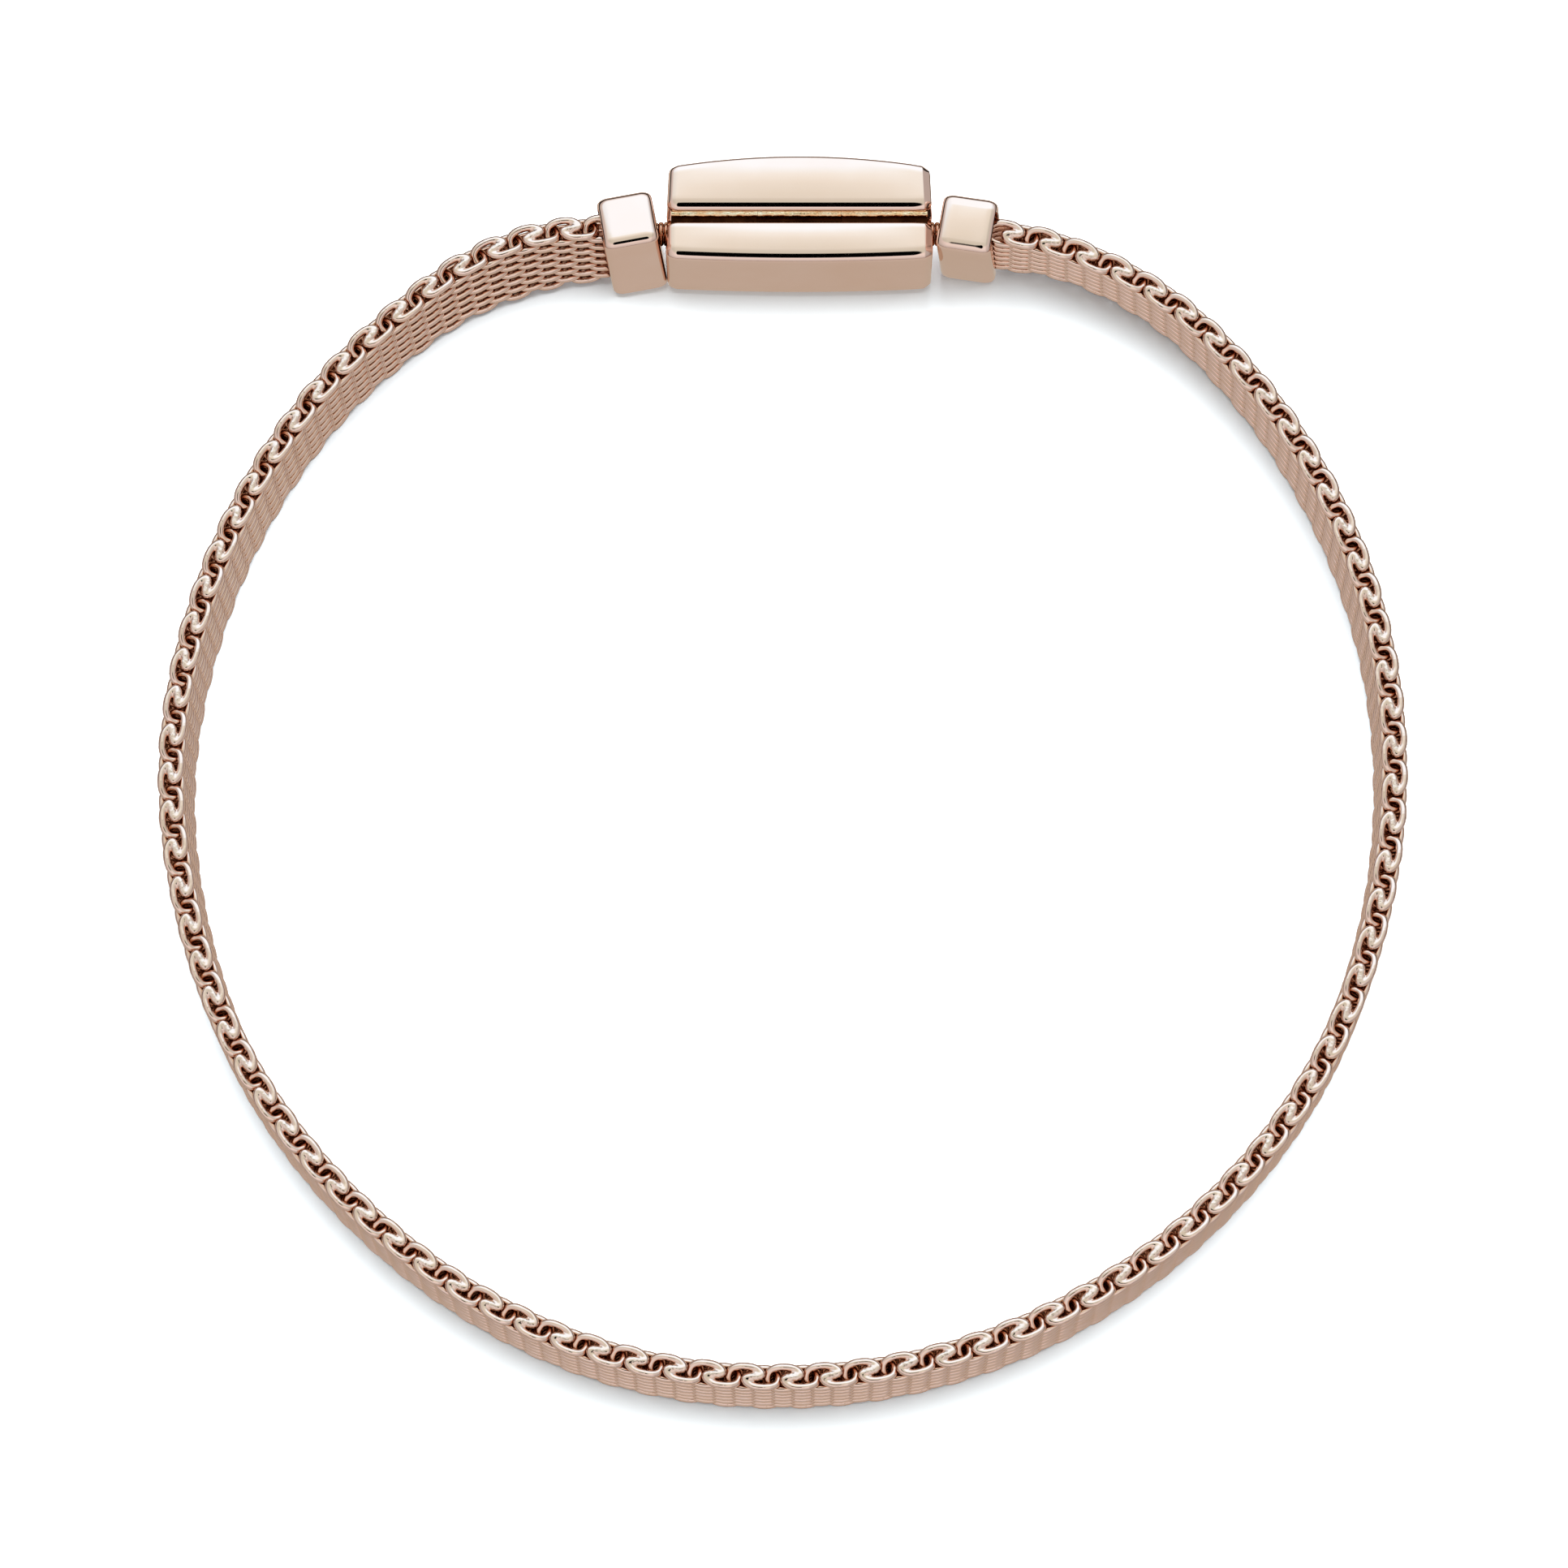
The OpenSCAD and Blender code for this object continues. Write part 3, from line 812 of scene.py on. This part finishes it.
def clasp_piece(name, node, body, shape, extras, leaves, cuts):
    v, f = shape
    o = new_object(name, v, f)
    apply_cuts(o, cuts)
    o.data.transform(Matrix.Translation(Vector(CLASP) * MM))
    o.data.materials.append(m_polished)
    finish_metal(o)
    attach(o, body)
    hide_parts(node)
    # the leaves take the groove's painted shade
    for tag, parts, m in (("knuckles", extras, m_seam), ("leaves", leaves, m_groove_shade)):
        v, f = merge(parts)
        e = new_object(f"{name}_{tag}", v + np.array(CLASP), f)
        e.data.materials.append(m)
        finish_metal(e, 45)
        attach(e, body)
        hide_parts(node)
    return o


base_shape = clasp_half(CL, 2.24, 0.16, 0.22, (0.36, 0.12), (0.80, 0.42), (1.10, 0.30), (0.35, 0.24), 0.02, 0.0, -1)
lid_shape = clasp_half(12.8, 3.27, 0.50, 0.415, (1.15, 0.28), (0.80, 0.42), (0.50, 0.26), (0.35, 0.24), 0.03, 0.11, +1)
slot_cut = block("cut_slot", (3.3, 2.0, 0.77), (0, -0.75 + 1.0, 0.38 + 0.385))
ax = AXIS_Z
clasp_piece("clasp_inner", "clasp_base", "bracelet", base_shape,
            [knuckle(-BARREL / 2, -MID / 2 - 0.006), knuckle(MID / 2 + 0.006, BARREL / 2)],
            [box_part(-BARREL / 2, -MID / 2 - 0.05, -0.35, AXIS_Y, ax - 0.155, ax - 0.09),
             box_part(MID / 2 + 0.05, BARREL / 2, -0.35, AXIS_Y, ax - 0.155, ax - 0.09),
             box_part(-MID / 2 - 0.1, MID / 2 + 0.1, -0.35, -0.01, ax - 0.30, ax - 0.20)],
            knob_cuts() + [slot_cut])
clasp_piece("clasp_outer", "clasp_lid", "lid", lid_shape,
            [knuckle(-MID / 2, MID / 2)],
            [box_part(-MID / 2, MID / 2, AXIS_Y, 0.60, ax - 0.155, ax - 0.02),
             box_part(-BARREL / 2, BARREL / 2, 0.01, 0.60, ax - 0.30, ax - 0.17),
             box_part(-1.5, 1.5, -0.6, 0.3, 0.5, 1.0)],
            knob_cuts())
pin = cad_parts["hinge_pin"]
pin.data.materials.clear()
pin.data.materials.append(m_seam)

# ---------------------------------------------------------------- floor, light, camera
floor_m, nt, bsdf = nodes_of("studio_floor")
bsdf.inputs["Base Color"].default_value = (0.90, 0.95, 0.985, 1)
bsdf.inputs["Roughness"].default_value = 0.9
bsdf.inputs["Specular IOR Level"].default_value = 0.0
bounce = add(nt, "ShaderNodeEmission", Strength=0.66)
bounce.inputs["Color"].default_value = (1.0, 0.955, 0.87, 1)
co = add(nt, "ShaderNodeTexCoord")
far = add(nt, "ShaderNodeVectorMath", operation="LENGTH")
nt.links.new(co.outputs["Object"], far.inputs[0])
fade = add(nt, "ShaderNodeMapRange", interpolation_type="SMOOTHSTEP")
fade.inputs["From Min"].default_value = 0.048
fade.inputs["From Max"].default_value = 0.090
fade.inputs["To Min"].default_value = 0.58
fade.inputs["To Max"].default_value = 0.0
nt.links.new(far.outputs["Value"], fade.inputs["Value"])
nt.links.new(fade.outputs["Result"], bounce.inputs["Strength"])
path = add(nt, "ShaderNodeLightPath")
mix = add(nt, "ShaderNodeMixShader")
nt.links.new(path.outputs["Is Camera Ray"], mix.inputs[0])
nt.links.new(bounce.outputs[0], mix.inputs[1])
nt.links.new(bsdf.outputs[0], mix.inputs[2])
nt.links.new(mix.outputs[0], nt.nodes["Material Output"].inputs["Surface"])
th = np.arange(96) * 2 * np.pi / 96
v = np.stack([600 * np.cos(th), 600 * np.sin(th), 0 * th], -1)
floor = new_object("studio_floor", v, [list(range(96))], smooth=False)
floor.data.materials.append(floor_m)

VIEW_EL = 75.5
world = bpy.data.worlds.new("studio")
bpy.context.scene.world = world
world.use_nodes = True
nt = world.node_tree
nt.nodes.clear()
out = add(nt, "ShaderNodeOutputWorld")
co = add(nt, "ShaderNodeTexCoord")
sep = add(nt, "ShaderNodeSeparateXYZ")
nt.links.new(co.outputs["Generated"], sep.inputs[0])


def toward(tilt_deg):
    """How near a direction is to one that leans from straight up towards the back."""
    dot = add(nt, "ShaderNodeVectorMath", operation="DOT_PRODUCT")
    t = math.radians(tilt_deg)
    dot.inputs[1].default_value = (0.0, math.sin(t), math.cos(t))
    nt.links.new(co.outputs["Generated"], dot.inputs[0])
    return dot.outputs["Value"]


def step(value, a_deg, b_deg):
    """1 within a_deg of the direction, falling to 0 at b_deg."""
    n = add(nt, "ShaderNodeMapRange", interpolation_type="SMOOTHSTEP")
    n.inputs["From Min"].default_value = math.cos(math.radians(b_deg))
    n.inputs["From Max"].default_value = math.cos(math.radians(a_deg))
    nt.links.new(value, n.inputs["Value"])
    return n.outputs["Result"]


def blend(fac, a, b):
    n = add(nt, "ShaderNodeMix", data_type="RGBA", blend_type="MIX")
    nt.links.new(fac, n.inputs[0])
    for value, socket in ((a, n.inputs[6]), (b, n.inputs[7])):
        if isinstance(value, tuple):
            socket.default_value = (*value, 1)
        else:
            nt.links.new(value, socket)
    return n.outputs[2]


def slope(value, points):
    """A level or colour that runs through (value, level) points, for values from -1 to 1."""
    half = add(nt, "ShaderNodeMapRange")
    half.inputs["From Min"].default_value = -1
    half.inputs["From Max"].default_value = 1
    nt.links.new(value, half.inputs["Value"])
    ramp = add(nt, "ShaderNodeValToRGB")
    e = ramp.color_ramp.elements
    def shade(level):
        return (*level, 1) if isinstance(level, tuple) else (level, level, level, 1)

    e[0].position, e[0].color = (points[0][0] + 1) / 2, shade(points[0][1])
    e[1].position, e[1].color = (points[-1][0] + 1) / 2, shade(points[-1][1])
    for x, level in points[1:-1]:
        k = e.new((x + 1) / 2)
        k.color = shade(level)
    nt.links.new(half.outputs["Result"], ramp.inputs["Fac"])
    return ramp.outputs["Color"]


# walls with a dark line at their foot, a cool ceiling that is brightest at the back and warmest
# overhead, a darker wall on the right, and the camera's dark opening
foot = slope(sep.outputs["Y"], [(-1.0, 0.60), (-0.25, 0.54), (0.0, 0.10), (0.15, 0.02), (1.0, 0.02)])
rise = add(nt, "ShaderNodeMapRange", interpolation_type="SMOOTHSTEP")
rise.inputs["From Min"].default_value = 0.16
rise.inputs["From Max"].default_value = 0.24
nt.links.new(sep.outputs["Z"], rise.inputs["Value"])
walls = blend(rise.outputs["Result"], foot,
              slope(sep.outputs["Z"], [(-1.0, 0.64), (0.23, 0.64), (0.60, 0.82), (1.0, 0.95)]))
roof = slope(sep.outputs["Y"], [(-1.0, (0.70, 0.79, 0.72)), (-0.10, (0.68, 0.76, 0.69)), (0.12, (0.72, 0.80, 0.74)),
                                (0.20, (0.80, 0.90, 0.85)), (0.24, (0.86, 0.97, 0.92)), (0.275, (0.885, 1.01, 0.975)),
                                (0.313, (0.93, 1.065, 1.04)), (0.34, (0.97, 1.14, 1.145)), (0.37, (1.01, 1.21, 1.25)),
                                (0.395, (1.04, 1.32, 1.46)), (0.42, (1.09, 1.40, 1.62)), (1.0, (1.09, 1.40, 1.62))])
sky = blend(step(toward(25), 38, 52), walls, roof)
side = add(nt, "ShaderNodeMix", data_type="RGBA", blend_type="MULTIPLY")
side.inputs[0].default_value = 1.0
nt.links.new(sky, side.inputs[6])
nt.links.new(slope(sep.outputs["X"], [(-1.0, 0.80), (-0.75, 0.82), (-0.20, 1.0), (0.45, 1.0), (0.55, 0.78), (1.0, 0.74)]),
             side.inputs[7])
sky = blend(step(toward(-18), 10, 13), side.outputs[2], (0.0, 0.0, 0.0))
room = add(nt, "ShaderNodeBackground", Strength=1.0)
nt.links.new(sky, room.inputs["Color"])
plain = add(nt, "ShaderNodeBackground", Strength=1.0)
plain.inputs["Color"].default_value = (1, 1, 1, 1)
path = add(nt, "ShaderNodeLightPath")
mix = add(nt, "ShaderNodeMixShader")
nt.links.new(path.outputs["Is Camera Ray"], mix.inputs[0])
nt.links.new(room.outputs[0], mix.inputs[1])
nt.links.new(plain.outputs[0], mix.inputs[2])
nt.links.new(mix.outputs[0], out.inputs["Surface"])

# a broad soft light from above and behind, which lifts the floor to white
sun = bpy.data.lights.new("soft_key", "SUN")
sun.energy = 6.3
sun.angle = math.radians(50)
so = bpy.data.objects.new("soft_key", sun)
so.rotation_euler = (math.radians(-20), math.radians(3), 0)
so.visible_glossy = False
bpy.context.scene.collection.objects.link(so)

cam = bpy.data.cameras.new("camera")
co_ = bpy.data.objects.new("camera", cam)
bpy.context.scene.collection.objects.link(co_)
cam.lens = 163.0
cam.sensor_width = 36.0
cam.clip_start, cam.clip_end = 0.02, 10.0
el = math.radians(VIEW_EL)
dist = 341.25
co_.location = (0.0, (-1.2 - dist * math.cos(el)) * MM, (5.4 + dist * math.sin(el)) * MM)
co_.rotation_euler = (math.radians(90 - VIEW_EL), 0, 0)
bpy.context.scene.camera = co_
bpy.context.scene.view_settings.view_transform = "Standard"
bpy.context.scene.view_settings.look = "None"
